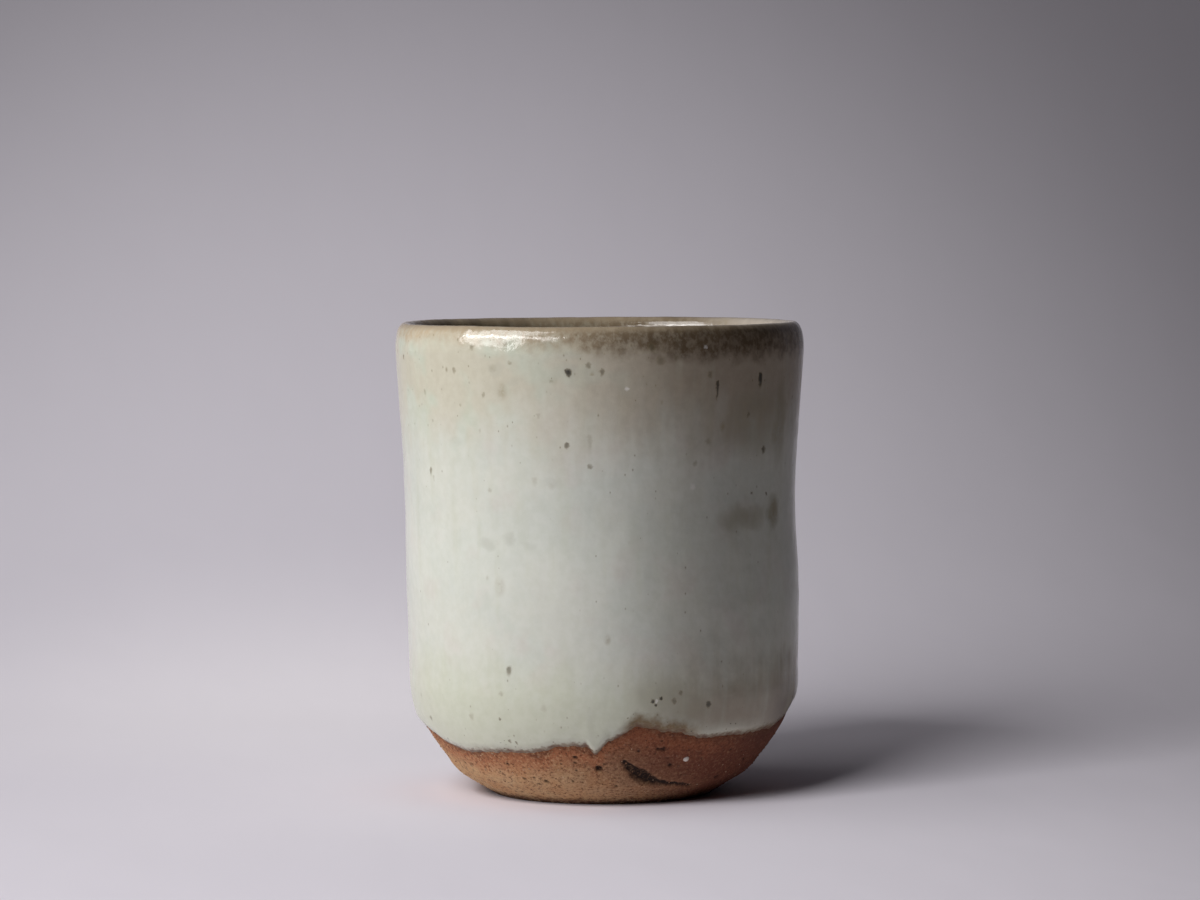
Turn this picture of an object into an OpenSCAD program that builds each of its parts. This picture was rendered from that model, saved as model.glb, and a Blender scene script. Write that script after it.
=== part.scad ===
// Sake cup: a small thrown stoneware beaker. A waisted wall with a full round lip stands on a
// trimmed bevel and a low foot ring. A pale glaze coats it inside and out, thin and brown over
// the lip, and ends above the foot in a wavy line that leaves the clay bare.

/* [Body] */
// Height of the clay from the table to the crest of the lip
body_h = 68.7; // [60:0.1:80]
// Outside diameter at the lip
lip_d = 59.4; // [57:0.1:66]
// Outside diameter at the waist
waist_d = 56; // [52:0.1:60]
// Height of the waist above the table
waist_z = 44.5; // [40:0.5:50]
// Outside diameter at the belly
belly_d = 56.6; // [53:0.1:60]
// Height of the belly above the table
belly_z = 33; // [28:0.5:37]
// Outside diameter at the shoulder, where the trimmed bevel starts
shoulder_d = 55.9; // [52:0.1:59]
// Height of the shoulder above the table
shoulder_z = 12.3; // [10.5:0.1:15]

/* [Foot] */
// Outside diameter at the heel, where the bevel turns under
heel_d = 43.3; // [40:0.1:47]
// Height of the heel above the table
heel_z = 3.4; // [2.4:0.1:4.5]
// Outside diameter of the foot ring
foot_d = 33.5; // [30:0.1:37]
// Height of the foot ring's outer side
foot_h = 0.9; // [0.7:0.1:1.6]
// Diameter of the hollow inside the foot ring
recess_d = 24; // [18:0.1:27]
// Depth of the hollow inside the foot ring
recess_h = 2; // [1:0.1:3]

/* [Wall] */
// Thickness of the clay at the lip
lip_t = 2.2; // [1.6:0.1:3.2]
// Thickness of the clay at the waist
wall_t = 3.4; // [2.4:0.1:4.4]
// Thickness of the clay above the shoulder
low_wall_t = 4.2; // [3:0.1:5.5]
// Thickness of the clay between the hollow and the floor inside
floor_t = 4.9; // [3.5:0.1:7]

/* [Rounding] */
// How far the curve at the waist reaches along the wall
waist_blend = 9; // [2:0.5:12]
// How far the curve at the belly reaches along the wall
belly_blend = 6; // [2:0.5:8]
// How far the curve at the shoulder reaches along the wall
shoulder_blend = 5; // [2:0.5:6]
// How far the curve at the heel reaches
heel_blend = 1.4; // [0.5:0.1:2]
// How far the softened edges of the foot ring reach
foot_blend = 0.3; // [0.1:0.05:0.4]
// How far the curve between the wall and the floor reaches inside
floor_blend = 12; // [4:0.5:15]

/* [Glaze] */
// Thickness of the glaze on the outside
outer_glaze_t = 0.5; // [0.2:0.05:0.8]
// Thickness of the glaze on the inside
inner_glaze_t = 0.5; // [0.2:0.05:0.8]
// Thickness of the glaze on the crest of the lip, where it runs thin
lip_glaze_t = 0.3; // [0.1:0.05:0.6]
// Height of the brown band at the lip
lip_band_h = 3.5; // [2:0.1:6]
// Mean height of the glaze's lower edge above the table
glaze_line_z = 10.3; // [9:0.1:13]

/* [Glaze edge] */
// How far the long dip on the left hangs below the mean edge
left_dip = 2.15; // [0:0.05:3]
// How far the drip near the middle hangs below the mean edge
drip = 1.75; // [0:0.05:3]
// How far the bare arch right of the drip rises above the mean edge
arch_rise = 1.9; // [0:0.05:4]
// How far the right shoulder of that arch rises above the mean edge
arch_shoulder = 1.45; // [0:0.05:3]
// How far the edge rises at the right side
right_rise = 2.8; // [0:0.05:4]
// How far the edge dips and rises at the back
back_wave = 1.7; // [0:0.05:3]

/* [Quartz grains] */
// Diameter of a white grain in the bare clay
grain_d = 1; // [0.4:0.1:1.6]
// How deep a grain's centre lies below the clay surface
grain_sink = 0.15; // [0:0.05:0.3]

/* [Hidden] */
$fn = 180;

// Angles go round from the front, to the right as seen from there, and the front faces -Y
front = -90;

// Swells of the glaze's lower edge: middle angle, half width as an angle, rise
swells = [
    [-41, 46, -left_dip],
    [-2.7, 4.2, -drip],
    [9, 10, arch_rise],
    [19, 14, arch_shoulder],
    [84, 22, right_rise],
    [150, 42, -back_wave],
    [183, 14, back_wave],
    [225, 50, -back_wave],
];

// Quartz grains: angle, place between the heel and the glaze edge, size as a share of grain_d
grains = [
    [29, 0.58, 1],
    [128, 0.4, 0.8],
    [221, 0.62, 1.1],
];

curve_steps = 12;          // straight pieces in one rounded corner
edge_steps = 180;          // straight pieces round the glaze's lower edge
grain_steps = 32;          // straight pieces round a grain
side_share = 0.48;         // share of a side that one rounding may take, so that two fit on it
lip_round = side_share * lip_t;   // the lip is rounded over nearly its whole thickness
same_point = 0.000001;     // points nearer than this are one point
clear = 1;                 // how far a cutter reaches past what it cuts

crest_r = lip_d / 2 - lip_t / 2;
floor_z = recess_h + floor_t;
lip_band_z = body_h - lip_band_h;

// Corners of the clay profile: radius, height, reach of the rounding
foot_corners = [
    [0, recess_h, 0],
    [recess_d / 2, recess_h, foot_blend],
    [recess_d / 2, 0, foot_blend],
    [foot_d / 2, 0, foot_blend],
    [foot_d / 2, foot_h, 0],
];
outside_corners = [
    [foot_d / 2, foot_h, 0],
    [heel_d / 2, heel_z, heel_blend],
    [shoulder_d / 2, shoulder_z, shoulder_blend],
    [belly_d / 2, belly_z, belly_blend],
    [waist_d / 2, waist_z, waist_blend],
    [lip_d / 2, body_h, lip_round],
    [crest_r, body_h, 0],
];
inside_corners = [
    [0, floor_z, 0],
    [shoulder_d / 2 - low_wall_t, floor_z, floor_blend],
    [waist_d / 2 - wall_t, waist_z, waist_blend],
    [lip_d / 2 - lip_t, body_h, lip_round],
    [crest_r, body_h, 0],
];

function unit(v) = v / norm(v);
function flat(corner) = [corner.x, corner.y];
function reversed(path) = [for (i = [len(path) - 1:-1:0]) path[i]];

// Length free for a rounding between corner i and its neighbour j, where an end has no rounding
function room(corners, i, j) =
    let (at_end = j == 0 || j == len(corners) - 1)
    norm(flat(corners[i]) - flat(corners[j])) * (at_end ? 2 : 1) * side_share;

// Arc that rounds the corner at b, leaving the sides towards a and c at a distance of reach
function arc(a, b, c, reach) =
    let (to_a = unit(a - b), to_c = unit(c - b))
    norm(to_a + to_c) < same_point ? [b] :
    let (half = acos(to_a * to_c) / 2)
    let (middle = b + unit(to_a + to_c) * reach / cos(half))
    let (start = b + to_a * reach - middle, turn = 180 - 2 * half)
    let (way = sign(cross(b - a, c - b)))
    [for (i = [0:curve_steps])
        let (angle = way * turn * i / curve_steps)
        middle + [start.x * cos(angle) - start.y * sin(angle),
                  start.x * sin(angle) + start.y * cos(angle)]];

// Path through the corners, with each rounding limited by its sides
function rounded(corners) = [
    for (i = [0:len(corners) - 1])
        let (end = i == 0 || i == len(corners) - 1)
        let (reach = end ? 0 : min(corners[i].z, room(corners, i, i - 1), room(corners, i, i + 1)))
        each end ? [flat(corners[i])]
            : arc(flat(corners[i - 1]), flat(corners[i]), flat(corners[i + 1]), reach)];

// Closed outline from several paths, without repeated points
function outline(paths) =
    let (points = [for (path = paths) each path])
    [for (i = [0:len(points) - 1])
        if (norm(points[i] - points[(i + 1) % len(points)]) > same_point) points[i]];

// Point of an upward path at height z, and the stretches below and above it
function at(path, z) = [lookup(z, [for (p = path) [p.y, p.x]]), z];
function below(path, z) = [for (p = path) if (p.y < z - same_point) p, at(path, z)];
function above(path, z) = [at(path, z), for (p = path) if (p.y > z + same_point) p];

// Glaze thickness at height z: full on the wall, thinning from the band's edge to the crest
function coat(z, full) =
    z < lip_band_z ? full : full + (lip_glaze_t - full) * (z - lip_band_z) / lip_band_h;

// Surface of the glaze over an upward clay path, on its right (side 1) or its left (side -1)
function skin(path, full, side) = [
    for (i = [0:len(path) - 1])
        let (along = unit(path[min(i + 1, len(path) - 1)] - path[max(i - 1, 0)]))
        path[i] + side * coat(path[i].y, full) * [along.y, -along.x]];

clay_foot = rounded(foot_corners);
clay_out = rounded(outside_corners);
clay_in = rounded(inside_corners);
skin_out = skin(clay_out, outer_glaze_t, 1);
skin_in = skin(clay_in, inner_glaze_t, -1);

// Height of the glaze's lower edge at an angle
function swell(angle, s) =
    let (around = abs(angle - s[0]) % 360)
    let (off = min(around, 360 - around))
    off < s[1] ? s[2] * (1 + cos(180 * off / s[1])) / 2 : 0;
function total(values, i = 0) = i < len(values) ? values[i] + total(values, i + 1) : 0;
function glaze_line(angle) = glaze_line_z + total([for (s = swells) swell(angle, s)]);

// Ring under the glaze's lower edge, with a wavy top
module below_glaze_line() {
    inner = foot_d / 2 - clear;
    outer = max(lip_d, waist_d, belly_d, shoulder_d) / 2 + outer_glaze_t + clear;
    n = edge_steps;
    points = [
        for (i = [0:n - 1])
            let (angle = 360 * i / n, spoke = [cos(angle + front), sin(angle + front)])
            let (top = glaze_line(angle))
            each [
                [inner * spoke.x, inner * spoke.y, -clear],
                [outer * spoke.x, outer * spoke.y, -clear],
                [outer * spoke.x, outer * spoke.y, top],
                [inner * spoke.x, inner * spoke.y, top]]];
    faces = [
        for (i = [0:n - 1], k = [0:3])
            let (a = 4 * i, b = 4 * ((i + 1) % n), next = (k + 1) % 4)
            each [[a + k, a + next, b + k], [b + k, a + next, b + next]]];
    polyhedron(points, faces);
}

// One quartz grain, seated in the bare clay
module grain(angle, place, share) {
    z = heel_z + place * (glaze_line(angle) - heel_z);
    rotate(angle + front)
        translate([at(clay_out, z).x - grain_sink, 0, z])
            sphere(d = share * grain_d, $fn = grain_steps);
}

module clay_body() {
    color("#a8693f")
        difference() {
            rotate_extrude() polygon(outline([clay_foot, clay_out, reversed(clay_in)]));
            for (g = grains) grain(g[0], g[1], g[2]);
        }
}

module outer_glaze() {
    color("#d3d5c6")
        difference() {
            rotate_extrude()
                polygon(outline([below(skin_out, lip_band_z), reversed(below(clay_out, lip_band_z))]));
            below_glaze_line();
        }
}

module rim_glaze() {
    color("#8b7457")
        rotate_extrude()
            polygon(outline([
                above(skin_out, lip_band_z), reversed(above(skin_in, lip_band_z)),
                above(clay_in, lip_band_z), reversed(above(clay_out, lip_band_z))]));
}

module inner_glaze() {
    color("#c4c3b0")
        rotate_extrude()
            polygon(outline([below(clay_in, lip_band_z), reversed(below(skin_in, lip_band_z))]));
}

module quartz_grains() {
    color("#efe9e2")
        for (g = grains) grain(g[0], g[1], g[2]);
}

clay_body();
outer_glaze();
rim_glaze();
inner_glaze();
quartz_grains();
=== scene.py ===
import math

import bpy
from mathutils import Matrix, Vector


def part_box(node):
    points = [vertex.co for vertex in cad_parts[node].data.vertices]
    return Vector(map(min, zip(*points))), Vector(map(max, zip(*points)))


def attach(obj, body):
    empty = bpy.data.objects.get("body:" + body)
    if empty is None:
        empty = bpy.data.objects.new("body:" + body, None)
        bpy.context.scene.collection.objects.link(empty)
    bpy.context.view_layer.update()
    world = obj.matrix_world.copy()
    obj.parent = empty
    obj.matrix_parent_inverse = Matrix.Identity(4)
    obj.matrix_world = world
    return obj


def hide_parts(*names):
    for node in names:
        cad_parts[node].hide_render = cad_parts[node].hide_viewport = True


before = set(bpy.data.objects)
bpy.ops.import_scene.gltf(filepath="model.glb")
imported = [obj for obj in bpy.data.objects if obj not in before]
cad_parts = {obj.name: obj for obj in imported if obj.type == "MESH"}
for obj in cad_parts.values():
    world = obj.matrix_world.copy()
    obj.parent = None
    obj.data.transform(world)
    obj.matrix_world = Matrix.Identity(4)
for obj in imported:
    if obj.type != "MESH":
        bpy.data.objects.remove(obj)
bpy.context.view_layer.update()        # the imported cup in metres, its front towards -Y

mm = 0.001
degree = math.radians(1)


# Node trees, made with short helpers

def spaced(inputs):
    # socket names from keywords
    return {name.replace("_", " "): value for name, value in inputs.items()}


class Bench:
    # one node tree, with short ways to add and wire its nodes
    def __init__(self, tree):
        self.tree = tree

    def feed(self, socket, value):
        if isinstance(value, bpy.types.NodeSocket):
            self.tree.links.new(value, socket)
        elif socket.type == "RGBA":
            socket.default_value = (*value[:3], 1.0)
        else:
            socket.default_value = value

    def add(self, kind, inputs=None, **settings):
        made = self.tree.nodes.new(kind)
        for name, value in settings.items():
            setattr(made, name, value)
        for name, value in (inputs or {}).items():
            self.feed(made.inputs[name], value)
        return made

    def output(self, kind, inputs=None, **settings):
        # the first output of a new node
        return self.add(kind, inputs, **settings).outputs[0]

    def calc(self, operation, *values):
        return self.output("ShaderNodeMath", dict(enumerate(values)), operation=operation)

    def fold(self, operation, first, *others):
        for other in others:
            first = self.calc(operation, first, other)
        return first

    def plus(self, *values):
        return self.fold("ADD", *values)

    def minus(self, *values):
        return self.fold("SUBTRACT", *values)

    def times(self, *values):
        return self.fold("MULTIPLY", *values)

    def most(self, *values):
        return self.fold("MAXIMUM", *values)

    def vector(self, operation, *values):
        made = self.add("ShaderNodeVectorMath", dict(enumerate(values)), operation=operation)
        return made.outputs["Value" if operation in ("LENGTH", "DOT_PRODUCT", "DISTANCE") else "Vector"]

    def stretch(self, vector, factor):
        made = self.add("ShaderNodeVectorMath", {0: vector, "Scale": factor}, operation="SCALE")
        return made.outputs["Vector"]

    def join(self, x=0.0, y=0.0, z=0.0):
        return self.add("ShaderNodeCombineXYZ", {"X": x, "Y": y, "Z": z}).outputs["Vector"]

    def split(self, vector):
        return self.add("ShaderNodeSeparateXYZ", {"Vector": vector}).outputs

    def ramp(self, value, low, high, toLow=0.0, toHigh=1.0):
        ends = {"Value": value, "From Min": low, "From Max": high, "To Min": toLow, "To Max": toHigh}
        return self.add("ShaderNodeMapRange", ends, interpolation_type="SMOOTHSTEP").outputs["Result"]

    def rise(self, value, span, *shares):
        # the same over a span given in millimetres
        return self.ramp(value, span[0] * mm, span[1] * mm, *shares)

    def noise(self, place, size, detail=2.0, rough=0.5):
        inputs = {"Vector": place, "Scale": 1 / size, "Detail": detail, "Roughness": rough}
        return self.output("ShaderNodeTexNoise", inputs)

    def sway(self, place, size, reach, detail=2.0):
        # noise from -reach to reach
        return self.times(self.minus(self.noise(place, size, detail), 0.5), 2 * reach)

    # the mix node's sockets 2 and 3 are numbers, 6 and 7 are colours
    def blend(self, share, first, second):
        return self.output("ShaderNodeMix", {0: share, 2: first, 3: second}, data_type="FLOAT")

    def paint(self, share, under, over, how="MIX"):
        made = self.add("ShaderNodeMix", {0: share, 6: under, 7: over}, data_type="RGBA", blend_type=how)
        return made.outputs[2]

    def give(self, sockets, **values):
        for name, value in spaced(values).items():
            self.feed(sockets[name], value)

    def use(self, group, **inputs):
        kind = "ShaderNodeGroup" if group.bl_idname == "ShaderNodeTree" else "GeometryNodeGroup"
        return self.add(kind, spaced(inputs), node_tree=group).outputs


def newGroup(name, kind, inputs, outputs):
    # sockets are given as a name and either a socket kind or a starting value
    group = bpy.data.node_groups.new(name, kind)
    for way, sockets in (("INPUT", inputs), ("OUTPUT", outputs)):
        for label, start in sockets.items():
            byValue = {float: "Float", int: "Int", tuple: "Vector"}.get(type(start))
            socketKind = "NodeSocket" + (byValue or start)
            socket = group.interface.new_socket(label, in_out=way, socket_type=socketKind)
            if byValue:
                socket.default_value = start
    given = group.nodes.new("NodeGroupInput").outputs
    result = group.nodes.new("NodeGroupOutput").inputs
    return group, Bench(group), given, result


class Layers:
    # tones laid one over another, with tables of the noises in use and of where each tone lies
    def __init__(self, bench, tones, fades, noises):
        self.bench = bench
        self.tones = tones
        self.fades = fades
        self.noises = noises
        self.sources = {}
        self.color = None

    def know(self, unit=1.0, **sockets):
        # what the fades may name, and the unit in which they give it
        self.sources.update({name: (socket, unit) for name, socket in sockets.items()})

    def noise(self, name, place):
        size, *rest = self.noises[name]
        made = self.bench.noise(place, size * mm, *rest)
        self.know(**{name: made})
        return made

    def sway(self, name, value, place, unit=mm):
        # a value moved up and down by noise
        size, reach, detail = self.noises[name]
        return self.bench.plus(value, self.bench.sway(place, size * mm, reach * unit, detail))

    def fade(self, name):
        ramps = []
        for source, start, full, *shares in self.fades[name]:
            socket, unit = self.sources[source]
            ramps.append(self.bench.ramp(socket, start * unit, full * unit, *shares))
        return self.bench.times(*ramps)

    def start(self, tone):
        self.color = self.tones[tone]

    def lay(self, tone, *shares, how="MIX"):
        # the tone is a name or a colour; the shares, multiplied, are names of fades, sockets or numbers.
        # A tone alone lies where the fade of its own name says.
        over = self.tones[tone] if isinstance(tone, str) else tone
        masks = [self.fade(share) if isinstance(share, str) else share for share in shares or (tone,)]
        self.color = self.bench.paint(self.bench.times(*masks), self.color, over, how)


# The cup's profile in millimetres: radius and height of each corner, close to the part's

thrown = {
    "lip": (29.7, 68.7),
    "lipSide": (29.5, 66.0),  # above this the outside of the lip leans in
    "lipTurn": (29.36, 67.55),
    "lipEdge": (29.0, 68.45),
    "waist": (28.1, 44.5),
    "belly": (28.38, 33.0),
    "shoulder": (28.05, 12.3),
    "heel": (21.65, 3.4),
    "foot": (16.25, 0.1),
    "recess": (12.0, 2.0),
    "lipWall": 2.2,
    "waistWall": 3.4,
    "lowWall": 4.2,
    "floorWall": 4.9,
    "outsideBlends": (1.4, 5.0, 6.0, 9.0, 1.5, 0.8),  # heel, shoulder, belly, waist, lip side, lip turn
    "insideBlends": (12.0, 9.0),  # floor, waist
    "footBlend": 0.1,
    "glaze": 0.5,
    "lipGlaze": 0.3,
    "segments": 480,
    "arcSteps": 12,
    "sideShare": 0.48,  # most of a side that one rounding may take
    "hair": 1e-4,  # points closer than this count as one
}


def roundCorner(before, corner, after, reach):
    toBefore = (before - corner).normalized()
    toAfter = (after - corner).normalized()
    half = toBefore.angle(toAfter) / 2
    middle = corner + (toBefore + toAfter).normalized() * (reach / math.cos(half))
    start = corner + toBefore * reach - middle
    turn = math.copysign(math.pi - 2 * half, (corner - before).cross(after - corner))
    steps = thrown["arcSteps"]
    return [middle + Matrix.Rotation(turn * i / steps, 2) @ start for i in range(steps + 1)]


def roundPath(corners):
    # path through (radius, height, reach of the rounding), in metres
    points = [Vector(corner[:2]) * mm for corner in corners]
    last = len(points) - 1
    path = [points[0]]
    for i in range(1, last):
        sides = [(points[i] - points[j]).length * (2 if j in (0, last) else 1) for j in (i - 1, i + 1)]
        reach = min(corners[i][2] * mm, *[thrown["sideShare"] * side for side in sides])
        path += roundCorner(points[i - 1], points[i], points[i + 1], reach)
    return path + [points[-1]]


def walkPath(path, stepAt):
    # the same path with points as far apart as stepAt says
    rows = [path[0]]
    place = stepAt(path[0])
    for start, end in zip(path, path[1:]):
        gap = (end - start).length
        while place < gap:
            point = start.lerp(end, place / gap)
            rows.append(point)
            place += stepAt(point)
        place -= gap
    if (rows[-1] - path[-1]).length < stepAt(path[-1]) / 3 and len(rows) > 1:
        rows.pop()
    return rows + [path[-1]]


def even(step):
    # the same step everywhere, in millimetres
    return lambda point: step * mm


def radiusAt(path, height):
    # radius of an upward path at a height
    for start, end in zip(path, path[1:]):
        if start.y <= height <= end.y and end.y > start.y:
            return start.lerp(end, (height - start.y) / (end.y - start.y)).x
    return path[-1].x if height > path[-1].y else path[0].x


def cutPath(path, height, keepLow):
    cut = Vector((radiusAt(path, height), height))
    if keepLow:
        return [point for point in path if point.y < height - thrown["hair"] * mm] + [cut]
    return [cut] + [point for point in path if point.y > height + thrown["hair"] * mm]


lipRound = thrown["sideShare"] * thrown["lipWall"]
crest = (thrown["lip"][0] - thrown["lipWall"] / 2, thrown["lip"][1])
floorHeight = thrown["recess"][1] + thrown["floorWall"]
footPath = roundPath([
    (0, thrown["recess"][1], 0),
    (*thrown["recess"], thrown["footBlend"]),
    (thrown["recess"][0], 0, thrown["footBlend"]),
    (thrown["foot"][0], 0, thrown["footBlend"]),
    (*thrown["foot"], 0),
])
turned = ("heel", "shoulder", "belly", "waist", "lipSide", "lipTurn")
outsidePath = roundPath([
    (*thrown["foot"], 0),
    *[(*thrown[name], reach) for name, reach in zip(turned, thrown["outsideBlends"])],
    (*thrown["lipEdge"], lipRound),
    (*crest, 0),
])
insidePath = roundPath([
    (0, floorHeight, 0),
    (thrown["shoulder"][0] - thrown["lowWall"], floorHeight, thrown["insideBlends"][0]),
    (thrown["waist"][0] - thrown["waistWall"], thrown["waist"][1], thrown["insideBlends"][1]),
    (thrown["lip"][0] - thrown["lipWall"], thrown["lip"][1], lipRound),
    (*crest, 0),
])
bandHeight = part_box("rim_glaze")[0].z  # where the brown band at the lip starts
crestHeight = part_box("clay_body")[1].z


def coatAt(height):
    # glaze thickness: full on the wall, thinner towards the crest of the lip
    share = max(0, (height - bandHeight) / (crestHeight - bandHeight))
    return (thrown["glaze"] + (thrown["lipGlaze"] - thrown["glaze"]) * share) * mm


def skinPath(path, side):
    skin = []
    for i, point in enumerate(path):
        along = (path[min(i + 1, len(path) - 1)] - path[max(i - 1, 0)]).normalized()
        skin.append(point + side * coatAt(point.y) * Vector((along.y, -along.x)))
    return skin


skinOut = skinPath(outsidePath, 1)
skinIn = skinPath(insidePath, -1)


def onWall(path, angle, height, out=0.0):
    # point on the cup at an angle in degrees, from the front to the right, and a height in millimetres
    radius = radiusAt(path, height * mm) + out * mm
    turn = math.radians(angle)
    return Vector((radius * math.sin(turn), -radius * math.cos(turn), height * mm))


def upright(rows):
    # a profile of radii and heights, stood up in space
    return [(row.x, 0.0, row.y) for row in rows]


def addObject(name, data):
    made = bpy.data.objects.new(name, data)
    bpy.context.scene.collection.objects.link(made)
    return made


def profileObject(name, points):
    # a chain of points that a node tree reads, removed when the piece is made
    mesh = bpy.data.meshes.new(name)
    mesh.from_pydata(points, [(i, i + 1) for i in range(len(points) - 1)], [])
    return addObject(name, mesh)


def pointValues(holder, name, values):
    made = holder.data.attributes.new(name, "FLOAT", "POINT")
    for point, value in zip(made.data, values):
        point.value = value


def nodesModifier(holder, group, **inputs):
    modifier = holder.modifiers.new(group.name, "NODES")
    modifier.node_group = group
    wanted = spaced(inputs)
    for item in group.interface.items_tree:
        if item.item_type == "SOCKET" and item.in_out == "INPUT" and item.name in wanted:
            modifier[item.identifier] = wanted[item.name]


def finishPiece(name, holder, slot, *nodes):
    # turns the evaluated holder into a plain mesh that rides with the cup
    graph = bpy.context.evaluated_depsgraph_get()
    made = holder.evaluated_get(graph)
    mesh = bpy.data.meshes.new_from_object(made, preserve_all_data_layers=True, depsgraph=graph)
    mesh.name = name
    piece = addObject(name, mesh)
    bpy.data.objects.remove(holder)
    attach(piece, "root")
    if nodes:
        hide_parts(*nodes)
    print("made", name, "with", len(mesh.polygons), "faces")
    return piece


# Geometry groups that the pieces share

wobble = {
    "out": 0.22,  # millimetres in and out round the wall
    "outSize": 24.0,
    "rings": 0.05,  # throwing rings
    "ringGap": 3.4,
    "ringDrift": 2.0,  # how far a ring climbs on its way round
    "ringDriftSize": 30.0,
    "fromRadius": (5, 14),  # nothing moves inside the first, all of it outside the second
    "fromHeight": (2, 10),
    "leanLow": 0.16,  # the wall stands a little to the right below and to the left above
    "leanHigh": -0.29,
    "leanSpan": (25, 47),
    "leanStart": (2, 12),
    "lipWave": 0.18,
    "lipWaveSize": 26.0,
    "lipWaveHeight": (48, 68),
    "mapRadius": 28.0,  # of the round on which the noise is read
}


def makeWobble():
    group, bench, given, result = newGroup(
        "handThrown", "GeometryNodeTree", {"Position": (0.0, 0.0, 0.0)}, {"Position": "Vector"})
    x, y, z = bench.split(given["Position"])
    flat = bench.join(x, y)
    outward = bench.vector("NORMALIZE", flat)
    radius = bench.vector("LENGTH", flat)
    onRing = bench.stretch(outward, wobble["mapRadius"] * mm)
    onRound = bench.vector("ADD", onRing, bench.join(z=z))
    steady = bench.times(bench.rise(radius, wobble["fromRadius"]), bench.rise(z, wobble["fromHeight"]))
    swell = bench.sway(onRound, wobble["outSize"] * mm, wobble["out"] * mm, 1.0)
    climb = bench.plus(z, bench.sway(onRing, wobble["ringDriftSize"] * mm, wobble["ringDrift"] * mm, 0.0))
    ring = bench.sway(bench.join(z=climb), wobble["ringGap"] * mm, wobble["rings"] * mm, 0.0)
    out = bench.times(bench.plus(swell, ring), steady)
    lean = bench.rise(z, wobble["leanSpan"], wobble["leanLow"] * mm, wobble["leanHigh"] * mm)
    lean = bench.times(lean, bench.rise(z, wobble["leanStart"]))
    lift = bench.sway(onRing, wobble["lipWaveSize"] * mm, wobble["lipWave"] * mm, 1.0)
    lift = bench.times(lift, bench.rise(z, wobble["lipWaveHeight"]))
    moved = bench.vector("ADD", given["Position"], bench.stretch(outward, out))
    bench.give(result, Position=bench.vector("ADD", moved, bench.join(lean, 0.0, lift)))
    return group


# Lower edge of the glaze: middle angle, half width as an angle, rise in millimetres

glazeEdge = {
    "height": 10.3,
    "swells": [
        (-41, 46, -2.3),
        (-57, 20, -0.75),
        (-23, 9, -0.4),
        (-7, 6.5, -0.45),
        (-2.3, 3.8, -1.6),
        (4.5, 5, -0.5),
        (9, 10, 1.9),
        (19, 14, 1.3),
        (84, 22, 2.8),
        (98, 18, 2.4),
        (150, 42, -1.7),
        (183, 14, 1.7),
        (225, 50, -1.7),
    ],
    "ripple": 0.28,
    "rippleSize": 3.2,
    "fray": 0.38,
    "fraySize": 0.9,
    "mapRadius": 26.0,
}


def angleOff(bench, angle, middle):
    # how far an angle is from a middle one given in degrees
    return bench.calc("ABSOLUTE", bench.calc("WRAP", bench.minus(angle, middle * degree), math.pi, -math.pi))


def makeGlazeEdge():
    group, bench, given, result = newGroup(
        "glazeEdge", "GeometryNodeTree", {"Angle": 0.0}, {"Height": "Float"})
    angle = given["Angle"]
    height = glazeEdge["height"] * mm
    for middle, half, rise in glazeEdge["swells"]:
        share = bench.calc("DIVIDE", angleOff(bench, angle, middle), half * degree)
        wave = bench.calc("COSINE", bench.times(bench.calc("MINIMUM", share, 1.0), math.pi))
        height = bench.calc("MULTIPLY_ADD", bench.plus(wave, 1.0), rise * mm / 2, height)
    spoke = bench.join(bench.calc("SINE", angle), bench.calc("COSINE", angle))
    place = bench.stretch(spoke, glazeEdge["mapRadius"] * mm)
    for size, reach in (("rippleSize", "ripple"), ("fraySize", "fray")):
        height = bench.plus(height, bench.sway(place, glazeEdge[size] * mm, glazeEdge[reach] * mm, 1.0))
    bench.give(result, Height=height)
    return group


def makeRingGrid():
    # a sheet of rows and columns, with the row and the angle of each of its points
    group, bench, given, result = newGroup(
        "ringGrid", "GeometryNodeTree", {"Rows": 2, "Segments": thrown["segments"]},
        {"Mesh": "Geometry", "Row": "Float", "Angle": "Float"})
    columns = bench.plus(given["Segments"], 1.0)
    sheet = bench.add("GeometryNodeMeshGrid", {"Vertices X": given["Rows"], "Vertices Y": columns})
    index = bench.output("GeometryNodeInputIndex")
    row = bench.calc("FLOOR", bench.calc("DIVIDE", index, columns))
    column = bench.minus(index, bench.times(row, columns))
    turn = bench.calc("DIVIDE", bench.times(column, 2 * math.pi), given["Segments"])
    bench.give(result, Mesh=sheet.outputs["Mesh"], Row=row, Angle=turn)
    return group


def dressed(bench, geometry, material):
    real = bench.output("GeometryNodeRealizeInstances", {"Geometry": geometry})
    return bench.output("GeometryNodeSetMaterial", {"Geometry": real, "Material": material})


# Gap in millimetres that is closed, and the fold in degrees from which an edge is hard

closing = {"gap": 2e-4, "hardFold": 55.0}


def makeCloseUp():
    # joins the seam and the poles, keeps hard edges hard, sets the finish
    group, bench, given, result = newGroup(
        "closeUp", "GeometryNodeTree", {"Mesh": "Geometry", "Material": "Material"}, {"Mesh": "Geometry"})
    inputs = {"Geometry": given["Mesh"], "Distance": closing["gap"] * mm}
    mesh = bench.output("GeometryNodeMergeByDistance", inputs)
    fold = bench.add("GeometryNodeInputMeshEdgeAngle").outputs["Unsigned Angle"]
    hard = bench.calc("GREATER_THAN", fold, closing["hardFold"] * degree)
    mesh = bench.output("GeometryNodeSetShadeSmooth", {"Geometry": mesh, "Shade Smooth": True})
    inputs = {"Geometry": mesh, "Selection": hard, "Shade Smooth": False}
    mesh = bench.output("GeometryNodeSetShadeSmooth", inputs, domain="EDGE")
    bench.give(result, Mesh=dressed(bench, mesh, given["Material"]))
    return group


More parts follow.
